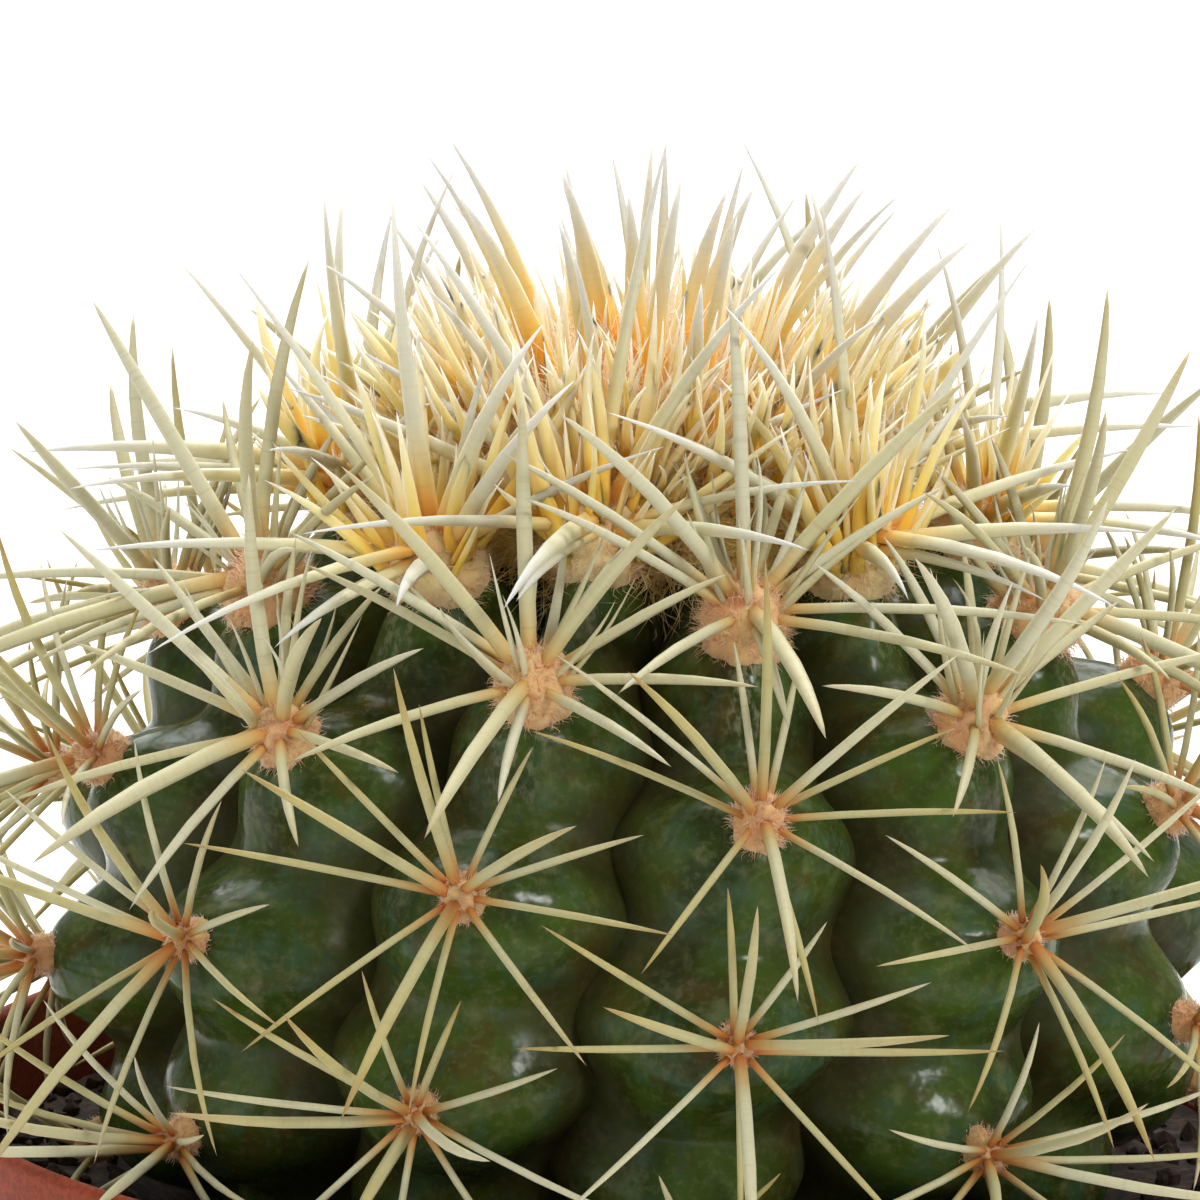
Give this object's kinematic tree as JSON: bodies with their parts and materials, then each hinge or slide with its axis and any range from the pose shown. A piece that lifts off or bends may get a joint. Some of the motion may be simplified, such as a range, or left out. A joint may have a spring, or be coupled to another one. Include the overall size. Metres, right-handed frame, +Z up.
{
  "type": "potted round cactus",
  "caption": "Young globular cactus with knobbly ribs, woolly spine cushions and pale yellow spines, standing in soil in a round tapered pot.",
  "frame": {"origin": "middle of the pot's flat underside", "axes": "+Z up along the pot's and the plant's axis; the side that the picture shows faces -Y"},
  "size_m": [0.1066, 0.1035, 0.1352],
  "materials": {
    "pot_plastic": "moulded terracotta-brown plastic, slightly satin",
    "soil": "dark crumbly potting soil",
    "skin": "dark green waxy plant skin",
    "spine": "pale straw-yellow horn, orange at the root",
    "wool": "golden-orange plant wool"
  },
  "bodies": {
    "root": {"pot": "pot_plastic", "soil": "soil", "cactus_body": "skin", "crown": "wool", "spine_cluster_01": "spine", "spine_cluster_02": "spine", "spine_cluster_03": "spine", "spine_cluster_04": "spine", "spine_cluster_05": "spine", "spine_cluster_06": "spine", "spine_cluster_07": "spine", "spine_cluster_08": "spine", "spine_cluster_09": "spine", "spine_cluster_10": "spine", "spine_cluster_11": "spine", "spine_cluster_12": "spine", "spine_cluster_13": "spine", "spine_cluster_14": "spine", "spine_cluster_15": "spine", "spine_cluster_16": "spine", "spine_cluster_17": "spine", "spine_cluster_18": "spine", "spine_cluster_19": "spine", "spine_cluster_20": "spine", "spine_cluster_21": "spine", "spine_cluster_22": "spine", "spine_cluster_23": "spine", "spine_cluster_24": "spine", "spine_cluster_25": "spine", "spine_cluster_26": "spine", "spine_cluster_27": "spine", "spine_cluster_28": "spine", "spine_cluster_29": "spine", "spine_cluster_30": "spine", "spine_cluster_31": "spine", "spine_cluster_32": "spine", "spine_cluster_33": "spine", "spine_cluster_34": "spine", "spine_cluster_35": "spine", "spine_cluster_36": "spine", "spine_cluster_37": "spine", "spine_cluster_38": "spine", "spine_cluster_39": "spine", "spine_cluster_40": "spine", "spine_cluster_41": "spine", "spine_cluster_42": "spine", "spine_cluster_43": "spine", "spine_cluster_44": "spine", "spine_cluster_45": "spine", "spine_cluster_46": "spine", "spine_cluster_47": "spine", "spine_cluster_48": "spine", "spine_cluster_49": "spine", "spine_cluster_50": "spine"}
  },
  "joints": []
}
